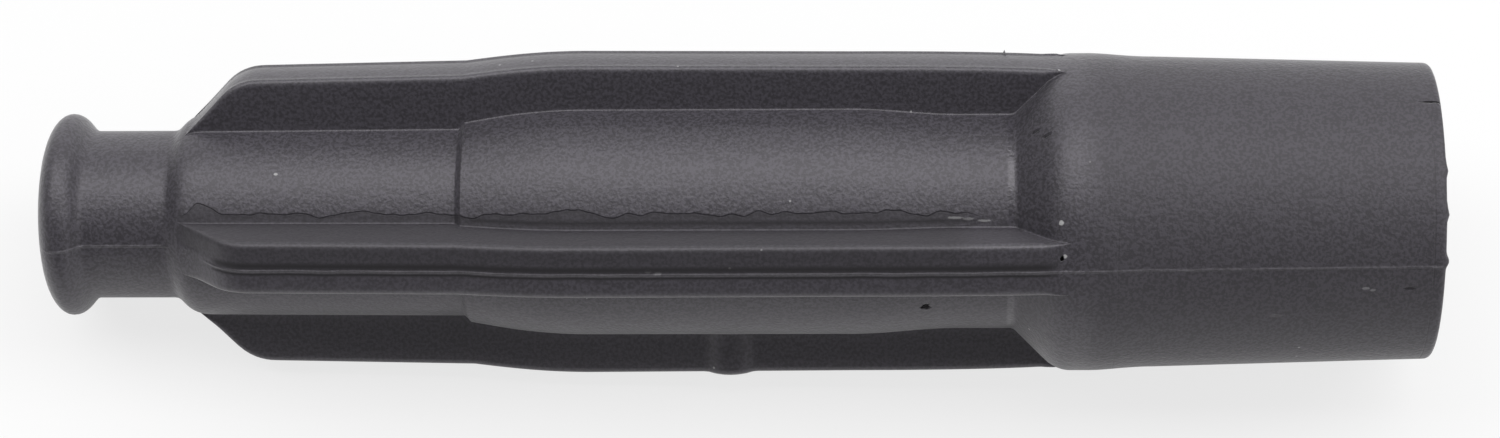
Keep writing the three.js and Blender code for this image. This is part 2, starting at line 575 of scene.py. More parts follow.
@dataclass
class BootSection:
    """Builds the section across the boot at any ring, always with the same number of points."""

    size: BootSizes
    rib: RibSizes
    parting: PartingSizes
    rim: RimSizes
    steps: MeshSteps
    tip_line: list[Point]
    plain_tip: tuple[float, ...] = (-1, -0.75, -0.5, -0.25, 0, 0.25, 0.5, 0.75, 1)
    parting_tip: tuple[float, ...] = (
        -1, -0.75, -0.5, -0.38, -0.28, -0.2, -0.13, -0.07, -0.02, 0.02, 0.045, 0.07,
        0.097, 0.125, 0.15, 0.18, 0.21, 0.235, 0.26, 0.29, 0.33, 0.4, 0.65, 1,
    )

    def rib_height(self, station: float) -> float:
        """Height of a rib's tip over the axis, or 0 where there is no rib.

        Args:
            station: Station along the boot.

        Returns:
            The height in millimetres.
        """
        line = self.tip_line
        if station <= line[0][0] or station >= line[-1][0]:
            return 0.0
        i = bisect_right(line, (station, math.inf))
        (a, low), (b, high) = line[i - 1], line[i]
        return low + (high - low) * (station - a) / (b - a)

    def half_width(self, ring: Ring, index: int) -> float:
        """Half the width of a rib, wider where the boss passes through it.

        Args:
            ring: The ring that the width is asked at.
            index: Which rib it is.

        Returns:
            The half width in millimetres.
        """
        plain = self.rib.width / 2
        if not ring.outside:
            return min(plain, ring.radius * self.rib.bore_share)
        if index != self.rib.boss_rib:
            return plain
        reach = self.rib.boss_radius**2 - (ring.station - self.rib.boss_station) ** 2
        return max(plain, math.sqrt(max(0.0, reach)))

    def drift(self, station: float, index: int, pace: float, layer: float) -> float:
        """A value between about -1 and 1 that changes slowly along a parting rib."""
        return noise.noise(Vector((station * pace, index * self.parting.rib_apart, layer)))

    def relief(self, ring: Ring, index: int, across: float) -> tuple[float, float, float]:
        """Height of the fine forms on a rib's tip.

        Args:
            ring: The ring that the point is on.
            index: Which rib it is.
            across: Distance from the middle of the tip.

        Returns:
            The height of the form there, the share of it that is flash, and the painted shade.
        """
        if not ring.outside or index not in self.rib.parting_ribs:
            return 0.0, 0.0, 0.0
        p, s, end = self.parting, ring.station, self.size.length
        side = across if index == self.rib.parting_ribs[0] else -across
        reach = stretch_share(s, p.ridge_rise, (end, end - p.ridge_fall))
        bare = stretch_share(s, p.bare_rise, p.bare_fall)
        middle = p.ridge_offset + p.wander * self.drift(s, index, p.wander_pace, 0.0)
        uneven = 1 + p.uneven * self.drift(s, index, p.uneven_pace, p.uneven_layer)
        flash = hump(side, middle, p.ridge_width) * reach * (1 - bare)
        span = stretch_share(s, p.groove_rise, p.groove_fall)
        groove = hump(side, p.groove_offset + middle, p.groove_width) * span
        # Shade painted on the tip beside the flash line and in the groove under it.
        shade = max(hump(side, p.shade_offset, p.shade_width) * span, groove)
        return p.ridge_height * uneven * flash - p.groove_depth * groove, flash, shade

    def boss_rise(self, ring: Ring, index: int, across: float) -> float:
        """How far the boss's dome stands over the tip at a point.

        Args:
            ring: The ring that the point is on.
            index: Which rib it is.
            across: Distance from the middle of the tip.

        Returns:
            The height in millimetres.
        """
        if not ring.outside or index != self.rib.boss_rib:
            return 0.0
        away = math.hypot(across, ring.station - self.rib.boss_station) / self.rib.boss_radius
        return self.rib.boss_rise * (1 - away**2) ** 0.5 if away < 1 else 0.0

    def crown(self, ring: Ring, index: int, share: float) -> float:
        """How far a plain rib's tip drops from its middle, at a share of its half width."""
        flat = not ring.outside or index in self.rib.parting_ribs
        return 0.0 if flat else -self.rib.tip_crown * share**2

    def nub(self, ring: Ring, index: int, share: float) -> float:
        """How far a nub of rubber stands up from one edge of a rib.

        Args:
            ring: The ring that the point is on.
            index: Which rib it is.
            share: Place on the tip, as a share of its half width.

        Returns:
            The height in millimetres.
        """
        rib = self.rib
        if not ring.outside or index != rib.nub_rib or share > -1:
            return 0.0
        return rib.nub_height * hump(ring.station, rib.nub_station, rib.nub_width / 2)

    def half_rib(self, ring: Ring, half: float, top: float) -> list[tuple[float, float, float]]:
        """One side of a rib, from the core up to the edge of the tip.

        Args:
            ring: The ring that the points are on.
            half: Half the rib's width.
            top: Height of its tip.

        Returns:
            Points as (across, height, worn edge), the first on the core.
        """
        radius = ring.radius
        foot = math.sqrt(radius**2 - half**2)
        rise = max(0.0, top - foot)
        fillet = min(self.rib.root_fillet, rise * self.rib.low_fillet)
        edge = min(self.rib.edge, rise * self.rib.low_edge)
        wear = min(1.0, edge / self.rib.edge)
        turn = math.asin(half / radius) + fillet / radius
        start = (radius * math.sin(turn), radius * math.cos(turn))
        points = []
        for i in range(self.steps.fillet):
            spot = quadratic(start, (half, foot), (half, foot + fillet), i / self.steps.fillet)
            points.append((*spot, 0.0))
        low, high = foot + fillet, foot + rise - edge
        for i in range(self.steps.wall):
            points.append((half, low + (high - low) * i / self.steps.wall, 0.0))
        for i in range(self.steps.edge):
            t = i / self.steps.edge
            spot = quadratic((half, high), (half, foot + rise), (half - edge, foot + rise), t)
            points.append((*spot, wear * math.sin(math.pi * t)))
        points.append((half - edge, foot + rise, wear * self.rib.worn_top))
        return points

    def rib_points(self, ring: Ring, index: int) -> list[SectionPoint]:
        """All points of one rib and its foot on both sides.

        Args:
            ring: The ring that the points are on.
            index: Which rib it is.

        Returns:
            The points, in the order of growing turn.
        """
        top = self.rib_height(ring.station) if ring.outside else 0.0
        side = self.half_rib(ring, self.half_width(ring, index), top)
        reach, _, wear = side[-1]
        stands = smooth_share(*self.rib.smooth_height, top - ring.radius)
        local = [(-u, v, e, 0.0, 0.0) for u, v, e in side[:-1]]
        shares = self.parting_tip if index in self.rib.parting_ribs else self.plain_tip
        if index == self.rib.parting_ribs[-1]:
            shares = tuple(-share for share in reversed(shares))
        for share in shares:
            u = share * reach
            core = math.sqrt(ring.radius**2 - u**2)
            raised = top + self.boss_rise(ring, index, u) + self.crown(ring, index, share)
            blend = self.rib.tip_blend if abs(share) < 1 else 0.0
            form, flash, shade = self.relief(ring, index, u)
            v = soft_max(raised, core, blend) + form + self.nub(ring, index, share)
            worn = wear * smooth_share(self.rib.worn_share, 1.0, abs(share))
            local.append((u, v, worn, flash, shade))
        local += [(u, v, e, 0.0, 0.0) for u, v, e in reversed(side[:-1])]
        turn = math.radians(self.rib.turns[index])
        cos, sin = math.cos(turn), math.sin(turn)
        return [
            SectionPoint(ring.station, v * cos - u * sin, v * sin + u * cos, stands, *marks)
            for u, v, *marks in local
        ]

    def panel_points(
        self, ring: Ring, start: SectionPoint, end: SectionPoint, root_shade: float
    ) -> list[SectionPoint]:
        """Points of the core between two ribs, without its two ends.

        Args:
            ring: The ring that the points are on.
            start: Last point of the rib before it.
            end: First point of the rib after it.
            root_shade: Painted shade at the root of the rib after it.

        Returns:
            The points between them.
        """
        first = math.atan2(start.z, start.y)
        span = (math.atan2(end.z, end.y) - first) % (2 * math.pi)
        count, r = self.steps.panel, ring.radius
        turns = [first + span * i / count for i in range(1, count)]
        points = [
            SectionPoint(ring.station, r * math.cos(a), r * math.sin(a), 0.0, 0.0, 0.0, 0.0)
            for a in turns
        ]
        # The panel's last point carries the shade painted at the rib's root.
        points[-1].shade = root_shade
        return points

    def root_shade(self, ring: Ring, index: int) -> float:
        """Painted shade along the root of the parting rib that follows a panel.

        Args:
            ring: The ring that it is asked at.
            index: Which rib comes before the panel.

        Returns:
            The shade, from 0 to 1.
        """
        if not ring.outside or index + 1 not in self.rib.parting_ribs:
            return 0.0
        p, start = self.parting, self.size.step_station
        rise = (start, start + p.root_rise)
        return p.root_shade * stretch_share(ring.station, rise, p.root_fall)

    def loop(self, ring: Ring) -> list[SectionPoint]:
        """The whole section at a ring.

        Args:
            ring: The ring.

        Returns:
            Its points, the first repeated at the end.
        """
        ribs = [self.rib_points(ring, i) for i in range(len(self.rib.turns))]
        points: list[SectionPoint] = []
        for i, rib in enumerate(ribs):
            points += rib
            following = ribs[(i + 1) % len(ribs)]
            points += self.panel_points(ring, rib[-1], following[0], self.root_shade(ring, i))
        for point in points:
            point.station += self.tag_height(ring, point)
        return points + [points[0]]

    def tag_height(self, ring: Ring, point: SectionPoint) -> float:
        """How far a tag on the rim stands out at a point.

        Args:
            ring: The ring that the point is on.
            point: The point.

        Returns:
            The height along the axis in millimetres.
        """
        reach = smooth_share(self.size.length - self.rim.depth, self.size.length, ring.station)
        if not ring.outside or reach == 0.0:
            return 0.0
        turn = math.degrees(math.atan2(point.z, point.y)) % 360
        return reach * sum(h * hump(turn, at, self.rim.width) for at, h in self.rim.tags)


@dataclass
class BootPlace:
    """Where the boot's axis lies in the frame, read from the record's mounts."""

    record: dict
    matrix: Matrix = field(init=False)
    tilt: float = field(init=False)
    start: Vector = field(init=False)

    def __post_init__(self) -> None:
        """Finds the axis from the lead's end face."""
        lead = next(m for m in self.record["mounts"] if m["name"] == "lead_end_face")
        axis = -Vector(lead["axis"]).normalized()
        self.start = Vector(lead["pos_m"])
        self.start.y = 0.0
        self.tilt = math.atan2(axis.z, axis.x)
        turn = Matrix.Rotation(-self.tilt, 4, "Y")
        self.matrix = Matrix.Translation(self.start) @ turn @ Matrix.Scale(MM, 4)


class Bench:
    """A node tree being wired, with short calls for nodes and links."""

    def __init__(self, tree: bpy.types.NodeTree) -> None:
        """Takes the tree.

        Args:
            tree: A material's, world's or group's node tree.
        """
        self.tree = tree

    def node(self, kind: str, settings: dict | None = None, **inputs: object) -> bpy.types.Node:
        """Adds a node.

        Args:
            kind: Its type, such as ShaderNodeMath.
            settings: Properties of the node itself.
            inputs: Socket names, with spaces as underscores, and their values or sources.

        Returns:
            The new node.
        """
        made = self.tree.nodes.new(kind)
        for name, value in (settings or {}).items():
            setattr(made, name, value)
        for name, value in inputs.items():
            self.feed(made.inputs[name.replace("_", " ")], value)
        return made

    def feed(self, socket: Socket, value: object) -> None:
        """Sets a socket's value, or links it if the value is a socket.

        Args:
            socket: The input socket.
            value: A value or an output socket.
        """
        if isinstance(value, Socket):
            self.tree.links.new(value, socket)
        else:
            socket.default_value = value

    def math(self, operation: str, *values: object) -> Socket:
        """A Math node's result.

        Args:
            operation: The node's operation.
            values: Its inputs, as numbers or sockets.

        Returns:
            The output socket.
        """
        made = self.node("ShaderNodeMath", {"operation": operation})
        for socket, value in zip(made.inputs, values):
            self.feed(socket, value)
        return made.outputs[0]

    def ramp(self, value: object, low: float, high: float) -> Socket:
        """A soft step from 0 to 1.

        Args:
            value: What the step depends on.
            low: Value at which it begins.
            high: Value at which it is complete.

        Returns:
            The output socket.
        """
        settings = {"interpolation_type": "SMOOTHSTEP"}
        made = self.node("ShaderNodeMapRange", settings, Value=value, From_Min=low, From_Max=high)
        return made.outputs[0]

    def band(self, value: object, rise: Point, fall: Point) -> Socket:
        """A band that fades in over its rise and out over its fall."""
        return self.math("MULTIPLY", self.ramp(value, *rise), self.ramp(value, *fall))

    def noise(self, place: object, scale: float, detail: float, rough: float = 0.5) -> Socket:
        """A noise pattern's value.

        Args:
            place: Where the pattern is read.
            scale: Its scale.
            detail: How many finer layers it has.
            rough: How strong the finer layers are.

        Returns:
            The output socket.
        """
        inputs = {"Vector": place, "Scale": scale, "Detail": detail, "Roughness": rough}
        return self.node("ShaderNodeTexNoise", **inputs).outputs["Fac"]

    def mix(self, share: object, first: object, second: object) -> Socket:
        """A colour between two.

        Args:
            share: Share of the second colour.
            first: The first colour.
            second: The second colour.

        Returns:
            The output socket.
        """
        made = self.node("ShaderNodeMix", {"data_type": "RGBA"})
        for index, value in ((0, share), (6, first), (7, second)):
            self.feed(made.inputs[index], value)
        return made.outputs[2]

    def station_and_turn(self, place: object) -> tuple[Socket, Socket]:
        """Station along the boot's axis and turn round it, in radians."""
        parts = self.node("ShaderNodeSeparateXYZ", Vector=place).outputs
        return parts[0], self.math("ARCTAN2", parts[2], parts[1])


def cleared_bench(owner: bpy.types.ID) -> Bench:
    """A bench on a material's or a world's emptied node tree.

    Args:
        owner: The material or the world.

    Returns:
        The bench.
    """
    owner.use_nodes = True
    owner.node_tree.nodes.clear()
    return Bench(owner.node_tree)


def new_group(name: str, inputs: dict, outputs: dict) -> tuple[Bench, object, object]:
    """An empty shader node group.

    Args:
        name: The group's name.
        inputs: Names of its input sockets, with their socket types.
        outputs: Names of its output sockets, with their socket types.

    Returns:
        Its bench, the sockets that bring its inputs, and those that take its outputs.
    """
    tree = bpy.data.node_groups.new(name, "ShaderNodeTree")
    for direction, sockets in (("INPUT", inputs), ("OUTPUT", outputs)):
        for label, kind in sockets.items():
            tree.interface.new_socket(name=label, in_out=direction, socket_type=kind)
    bench = Bench(tree)
    return bench, bench.node("NodeGroupInput").outputs, bench.node("NodeGroupOutput").inputs


def put_in_scene(name: str, data: bpy.types.ID) -> bpy.types.Object:
    """Makes an object and links it to the scene.

    Args:
        name: The object's name.
        data: Its mesh, lamp or camera.

    Returns:
        The object.
    """
    made = bpy.data.objects.new(name, data)
    bpy.context.scene.collection.objects.link(made)
    return made


@dataclass(frozen=True)
class GrainGroup:
    """Moulded grain: fine blots, lighter and darker, with a coarser roll under them."""

    name: str = "Moulded grain"
    fine_detail: float = 1.5
    fine_roughness: float = 0.55
    coarse_scale: float = 0.41
    coarse_height: float = 0.9
    blots: Point = (0.3, 0.7)

    def build(self) -> bpy.types.NodeTree:
        """Builds the node group.

        Returns:
            The group.
        """
        outputs = {"Height": NUMBER, "Blots": NUMBER}
        bench, given, wanted = new_group(self.name, {"Place": VECTOR, "Size": NUMBER}, outputs)
        pace = bench.math("DIVIDE", 1.0, given["Size"])
        scale = {"operation": "SCALE"}
        scaled = bench.node("ShaderNodeVectorMath", scale, Vector=given["Place"], Scale=pace)
        place = scaled.outputs[0]
        fine = bench.noise(place, 1.0, self.fine_detail, self.fine_roughness)
        coarse = bench.noise(place, self.coarse_scale, 1.0)
        height = bench.math("MULTIPLY_ADD", coarse, self.coarse_height, fine)
        bench.feed(wanted["Height"], height)
        bench.feed(wanted["Blots"], bench.ramp(fine, *self.blots))
        return bench.tree


@dataclass(frozen=True)
class Scatter:
    """Small spots in a few of the cells of a pattern.

    Attributes:
        scale: Cells in a millimetre.
        reach: Distances from a cell's middle at which a spot begins and is complete.
        bare: Share of the cells that stay bare.
        soft: Width of the step from bare cells to the others.
    """

    scale: float
    reach: Point
    bare: float
    soft: float = 0.02

    def wire(self, bench: Bench, place: object) -> Socket:
        """Wires the pattern.

        Args:
            bench: The group's bench.
            place: Where the pattern is read.

        Returns:
            The spots, from 0 to 1.
        """
        cells = bench.node("ShaderNodeTexVoronoi", Vector=place, Scale=self.scale).outputs
        near = bench.ramp(cells["Distance"], *self.reach)
        chance = bench.node("ShaderNodeSeparateColor", Color=cells["Color"]).outputs[0]
        chosen = bench.ramp(chance, self.bare, self.bare + self.soft)
        return bench.math("MULTIPLY", near, chosen)


@dataclass(frozen=True)
class DustGroup:
    """Dust specks, faint clouding and short scuffs over the surface."""

    name: str = "Dust and scuffs"
    cloud_scale: float = 0.09
    cloud_detail: float = 2.0
    specks: Scatter = Scatter(0.42, (0.055, 0.03), 0.7)
    scuffs: Scatter = Scatter(0.22, (0.05, 0.03), 0.82)
    scuff_stretch: tuple[float, ...] = (0.35, 1.0, 1.0)
    scuff_turn: tuple[float, ...] = (0.0, 0.0, 0.15)

    def build(self) -> bpy.types.NodeTree:
        """Builds the node group.

        Returns:
            The group.
        """
        outputs = {"Cloud": NUMBER, "Specks": NUMBER, "Scuffs": NUMBER}
        bench, given, wanted = new_group(self.name, {"Place": VECTOR}, outputs)
        place = given["Place"]
        stretched = bench.node(
            "ShaderNodeMapping", Vector=place, Scale=self.scuff_stretch, Rotation=self.scuff_turn
        )
        bench.feed(wanted["Cloud"], bench.noise(place, self.cloud_scale, self.cloud_detail))
        bench.feed(wanted["Specks"], self.specks.wire(bench, place))
        bench.feed(wanted["Scuffs"], self.scuffs.wire(bench, stretched.outputs[0]))
        return bench.tree


@dataclass(frozen=True)
class Blemish:
    """One small mark on the rubber, placed by its station and its turn round the axis."""

    station: float
    turn: float
    length: float
    width: float
    strength: float = 1.0


@dataclass(frozen=True)
class BlemishGroup:
    """Mask of one small uneven spot, with its turn measured on a usual radius."""

    name: str = "Small spot"
    radius: float = 10.0
    uneven_scale: float = 2.6
    edge: Point = (1.6, 1.15)

    def build(self) -> bpy.types.NodeTree:
        """Builds the node group.

        Returns:
            The group.
        """
        inputs = {"Place": VECTOR, **dict.fromkeys(("Station", "Turn", "Length", "Width"), NUMBER)}
        bench, given, wanted = new_group(self.name, inputs, {"Mask": NUMBER})
        station, turn = bench.station_and_turn(given["Place"])
        along = bench.math("SUBTRACT", station, given["Station"])
        along = bench.math("DIVIDE", along, given["Length"])
        across = bench.math("SUBTRACT", turn, given["Turn"])
        across = bench.math("DIVIDE", bench.math("MULTIPLY", across, self.radius), given["Width"])
        square = bench.math("MULTIPLY_ADD", along, along, bench.math("MULTIPLY", across, across))
        uneven = bench.noise(given["Place"], self.uneven_scale, 1.0)
        away = bench.math("ADD", bench.math("SQRT", square), uneven)
        bench.feed(wanted["Mask"], bench.ramp(away, *self.edge))
        return bench.tree


@dataclass(frozen=True)
class SmoothStrip:
    """The smooth strip beside the parting rib, and the dark line of its wavy border.

    Stations are in millimetres, the border and the root are turns in degrees, and the rest
    are turns in radians or shares.
    """

    border: float = 107.2
    wave: float = 0.24
    wave_scale: float = 0.24
    wave_detail: float = 2.0
    wave_roughness: float = 0.55
    arch: float = -0.1
    arch_rise: Point = (12.4, 13.6)
    arch_fall: Point = (16.2, 14.0)
    start: Point = (11.6, 12.2)
    end: Point = (78.0, 74.0)
    root: Point = (134.0, 131.0)
    edge: float = 0.012
    line_rise: Point = (-0.014, 0.02)
    line_fall: Point = (0.075, 0.022)
    line_shade: float = 0.5
    strip_shade: float = 0.34

    def wire(self, bench: Bench, station: Socket, turn: Socket) -> tuple[Socket, Socket]:
        """Wires the strip and its line.

        Args:
            bench: The material's bench.
            station: Station along the boot's axis.
            turn: Turn round the axis.

        Returns:
            The strip and the shade on it, each from 0 to 1.
        """
        path = bench.node("ShaderNodeCombineXYZ", X=station).outputs[0]
        waves = bench.noise(path, self.wave_scale, self.wave_detail, self.wave_roughness)
        start = bench.math("MULTIPLY_ADD", waves, self.wave, math.radians(self.border))
        arch = bench.band(station, self.arch_rise, self.arch_fall)
        start = bench.math("MULTIPLY_ADD", arch, self.arch, start)
        over = bench.math("SUBTRACT", turn, start)
        root = bench.ramp(turn, *map(math.radians, self.root))
        within = bench.math("MULTIPLY", root, bench.band(station, self.start, self.end))
        strip = bench.math("MULTIPLY", bench.ramp(over, 0.0, self.edge), within)
        line = bench.band(over, self.line_rise, self.line_fall)
        line = bench.math("MULTIPLY", line, self.line_shade)
        shade = bench.math("MAXIMUM", line, bench.math("MULTIPLY", strip, self.strip_shade))
        return strip, bench.math("MULTIPLY", shade, within)


@dataclass(frozen=True)
class MouldLines:
    """Thin turned lines that the mould leaves on the sleeve, broken in places."""

    lines: tuple[Point, ...] = ((87.4, 0.6), (112.3, 1.0))
    edge: Point = (0.09, 0.02)
    gap_scale: float = 0.25
    gap_detail: float = 2.0
    gap_edge: Point = (0.38, 0.55)

    def wire(self, bench: Bench, axis: Socket, station: Socket) -> Socket:
        """Wires the lines.

        Args:
            bench: The material's bench.
            axis: Place along and across the boot's axis.
            station: Station along the axis.

        Returns:
            The lines, from 0 to 1.
        """
        joined = 0.0
        for at, strength in self.lines:
            away = bench.math("ABSOLUTE", bench.math("SUBTRACT", station, at))
            joined = bench.math("MULTIPLY_ADD", bench.ramp(away, *self.edge), strength, joined)
        unbroken = bench.ramp(bench.noise(axis, self.gap_scale, self.gap_detail), *self.gap_edge)
        return bench.math("MULTIPLY", joined, unbroken)


@dataclass(frozen=True)
class RubberMasks:
    """Where each look of the rubber shows, as sockets from 0 to 1."""

    grained: Socket
    strip: Socket
    # Painted shade beside the flash and at the rib's root, with the darker strip and its border
    # line.
    shade: Socket
    edge: Socket
    flash: Socket
    lines: Socket
    sleeve: Socket
    heel: Socket
    # Pits and dashes, painted near black as their shade.
    dark: Socket
    pale: Socket


@dataclass(frozen=True)
class RubberFinish:
    """Charcoal rubber: matte and grained on the panels, smoother on the ribs."""

    name: str = "charcoal_rubber"
    dark: Colour = (0.0165, 0.0145, 0.0195, 1.0)
    light: Colour = (0.044, 0.040, 0.051, 1.0)
    # Colour of the painted shade and of the darker places.
    painted_shade_and_deep_tone: Colour = (0.012, 0.011, 0.013, 1.0)
    # Near black painted into the pits as the shade inside them.
    pit_shade: Colour = (0.001, 0.001, 0.001, 1.0)
    worn: Colour = (0.12, 0.118, 0.125, 1.0)
    dust: Colour = (0.5, 0.5, 0.5, 1.0)
    tint: Colour = (0.98, 0.95, 1.0, 1.0)
    specular: float = 1.0
    sheen: float = 0.55
    sheen_roughness: float = 0.3
    grain: float = 0.26
    rib_blots: float = 1.35
    panel_blots: float = 2.5
    cloud: float = 0.25
    edge_wear: float = 0.15
    # Wear on the flash ridge, and a highlight painted along it.
    flash_wear_and_highlight: float = 0.1
    scuff_wear: float = 0.35
    speck_cover: float = 0.6
    line_shade: float = 0.6
    sleeve_shade: float = 0.2
    # Share of Metallic that darkens the painted shade.
    shade_metal_share: float = 0.45
    rib_roughness: float = 0.5
    panel_roughness: float = 0.54
    shade_roughness: float = 0.14
    sleeve_roughness: float = 0.13
    heel_roughness: float = -0.16
    bump: float = 0.00005
    bump_strength: float = 0.8
    rib_relief: float = 0.45
    strip_sink: float = 0.8
    scratch_sink: float = 0.6
    pit_sink: float = 2.0
    sleeve_rise: Point = (84.0, 87.0)
    heel_rise: Point = (78.7, 78.9)
    heel_fall: Point = (79.45, 79.25)
    pale_spots: tuple[Blemish, ...] = (
        Blemish(82.9, 118.0, 0.2, 0.2, 0.8),
        Blemish(83.2, 129.9, 0.16, 0.16, 0.7),
        Blemish(74.6, 116.8, 0.7, 0.13, 0.45),
        Blemish(75.6, 117.3, 0.5, 0.12, 0.3),
        Blemish(76.9, 118.2, 0.5, 0.11, 0.35),
        Blemish(19.8, 91.6, 0.17, 0.15, 0.6),
        Blemish(50.2, 134.2, 0.3, 0.16, 0.3),
        Blemish(51.0, 134.9, 0.35, 0.14, 0.25),
        Blemish(107.0, 144.0, 0.3, 0.12, 0.3),
        Blemish(107.6, 144.9, 0.25, 0.1, 0.25),
    )
    # Small sunk pits and dashes, painted near black as the shade inside them.
    dark_spots: tuple[Blemish, ...] = (
        Blemish(72.2, 166.4, 0.45, 0.42),
        Blemish(82.95, 130.6, 0.2, 0.2),
        Blemish(81.0, 78.9, 0.45, 0.16, 0.4),
        Blemish(81.9, 83.6, 0.45, 0.16, 0.4),
        Blemish(112.4, 68.4, 0.9, 0.12, 0.8),
        Blemish(110.5, 144.4, 0.5, 0.12, 0.5),
    )

    def build(self, place: BootPlace) -> bpy.types.Material:
        """Builds the material.

        Args:
            place: Where the boot's axis lies.

        Returns:
            The material.
        """
        material = bpy.data.materials.new(self.name)
        bench = cleared_bench(material)
        axis = self.axis_place(bench, place)
        group, tree = "ShaderNodeGroup", "node_tree"
        grain = bench.node(group, {tree: GrainGroup().build()}, Place=axis, Size=self.grain).outputs
        dust = bench.node(group, {tree: DustGroup().build()}, Place=axis).outputs
        masks = self.masks(bench, axis)
        height = self.relief(bench, masks, grain["Height"], dust["Scuffs"])
        bump = bench.node(
            "ShaderNodeBump", Strength=self.bump_strength, Distance=self.bump, Height=height
        )
        # Metallic darkens the painted shade by the flash and at the rib's root, the strip and its
        # border line, and fully darkens the pits' painted shade.
        metal_darkening = bench.math("MULTIPLY", masks.shade, self.shade_metal_share)
        shader = bench.node(
            "ShaderNodeBsdfPrincipled",
            Base_Color=self.colour(bench, masks, grain["Blots"], dust),
            Roughness=self.roughness(bench, masks),
            Metallic=bench.math("MAXIMUM", masks.dark, metal_darkening),
            Normal=bump.outputs[0],
            Specular_IOR_Level=self.specular,
            Specular_Tint=self.tint,
            Sheen_Weight=self.sheen,
            Sheen_Roughness=self.sheen_roughness,
        )
        bench.node("ShaderNodeOutputMaterial", Surface=shader.outputs[0])
        return material

    def axis_place(self, bench: Bench, place: BootPlace) -> Socket:
        """Place of a surface point along and across the boot's axis, in millimetres.

        Args:
            bench: The material's bench.
            place: Where the boot's axis lies.

        Returns:
            The output socket.
        """
        source = bench.node("ShaderNodeTexCoord").outputs["Object"]
        start = Matrix.Rotation(place.tilt, 4, "Y") @ place.start
        turn, scale = (0.0, place.tilt, 0.0), (1 / MM,) * 3
        inputs = {"Vector": source, "Location": -start / MM, "Rotation": turn, "Scale": scale}
        return bench.node("ShaderNodeMapping", **inputs).outputs[0]

    def masks(self, bench: Bench, axis: Socket) -> RubberMasks:
        """Finds where each look shows.

        Args:
            bench: The material's bench.
            axis: Place along and across the boot's axis.

        Returns:
            The masks.
        """
        station, turn = bench.station_and_turn(axis)
        attribute = "ShaderNodeAttribute"
        marks = {
            mark: bench.node(attribute, {"attribute_name": mark.value}).outputs["Fac"]
            for mark in Mark
        }
        strip, border = SmoothStrip().wire(bench, station, turn)
        smooth = bench.math("MAXIMUM", marks[Mark.RIB], strip)
        spot = BlemishGroup().build()
        return RubberMasks(
            grained=bench.math("SUBTRACT", 1.0, smooth),
            strip=strip,
            # Painted shade from the vertices, joined with the strip's darker border.
            shade=bench.math("MAXIMUM", marks[Mark.SHADE], border),
            edge=marks[Mark.EDGE],
            flash=marks[Mark.FLASH],
            lines=MouldLines().wire(bench, axis, station),
            sleeve=bench.ramp(station, *self.sleeve_rise),
            heel=bench.band(station, self.heel_rise, self.heel_fall),
            dark=self.spots(bench, spot, axis, self.dark_spots),
            pale=self.spots(bench, spot, axis, self.pale_spots),
        )

    def spots(
        self, bench: Bench, group: bpy.types.NodeTree, axis: Socket, spots: tuple[Blemish, ...]
    ) -> Socket:
        """Masks of several small marks, joined into one.

        Args:
            bench: The material's bench.
            group: The node group of one spot.
            axis: Place along and across the boot's axis.
            spots: The marks.

        Returns:
            The joined mask, from 0 to 1.
        """
        joined = 0.0
        for spot in spots:
            made = bench.node(
                "ShaderNodeGroup", {"node_tree": group}, Place=axis, Station=spot.station,
                Turn=math.radians(spot.turn), Length=spot.length, Width=spot.width,
            )
            mask = bench.math("MULTIPLY", made.outputs["Mask"], spot.strength)
            joined = bench.math("MAXIMUM", mask, joined)
        return joined

    def colour(self, bench: Bench, masks: RubberMasks, blots: Socket, dust: object) -> Socket:
        """Colour of the rubber with its wear, dust and marks, painted shade, darker places and a
        painted flash highlight.

        Args:
            bench: The material's bench.
            masks: Where each look shows.
            blots: The grain's blots.
            dust: The dust group's outputs.

        Returns:
            The colour.
        """
        contrast = self.panel_blots - self.rib_blots
        contrast = bench.math("MULTIPLY_ADD", masks.grained, contrast, self.rib_blots)
        blots = bench.math("MULTIPLY", bench.math("SUBTRACT", blots, 0.5), contrast)
        cloud = bench.math("MULTIPLY_ADD", dust["Cloud"], self.cloud, (1 - self.cloud) / 2)
        colour = bench.mix(bench.math("ADD", blots, cloud), self.dark, self.light)
        layers = (
            (masks.edge, self.edge_wear, self.worn),
            # The flash's lighter colour is wear and a painted highlight along the ridge.
            (masks.flash, self.flash_wear_and_highlight, self.worn),
            (dust["Scuffs"], self.scuff_wear, self.worn),
            (dust["Specks"], self.speck_cover, self.dust),
        )
        for mask, share, over in layers:
            colour = bench.mix(bench.math("MULTIPLY", mask, share), colour, over)
        colour = bench.mix(masks.pale, colour, self.dust)
        # Painted shade beside the flash, in its groove and at the parting rib's root; darker over
        # the smooth strip, its border line, the mould lines and the sleeve.
        painted_shade_and_deep_tone = masks.shade
        for mask, share in ((masks.lines, self.line_shade), (masks.sleeve, self.sleeve_shade)):
            painted_shade_and_deep_tone = bench.math("MAXIMUM", painted_shade_and_deep_tone, bench.math("MULTIPLY", mask, share))
        # The pits and dashes are painted near black, as the shade inside them.
        return bench.mix(masks.dark, bench.mix(painted_shade_and_deep_tone, colour, self.painted_shade_and_deep_tone), self.pit_shade)

    def roughness(self, bench: Bench, masks: RubberMasks) -> Socket:
        """Roughness of the rubber.

        Args:
            bench: The material's bench.
            masks: Where each look shows.

        Returns:
            The roughness.
        """
        more = self.panel_roughness - self.rib_roughness
        rough = bench.math("MULTIPLY_ADD", masks.grained, more, self.rib_roughness)
        heel = bench.math("MULTIPLY", masks.heel, masks.grained)
        changes = (
            (masks.shade, self.shade_roughness),
            (masks.sleeve, self.sleeve_roughness),
            (heel, self.heel_roughness),
        )
        for mask, change in changes:
            rough = bench.math("MULTIPLY_ADD", mask, change, rough)
        return rough

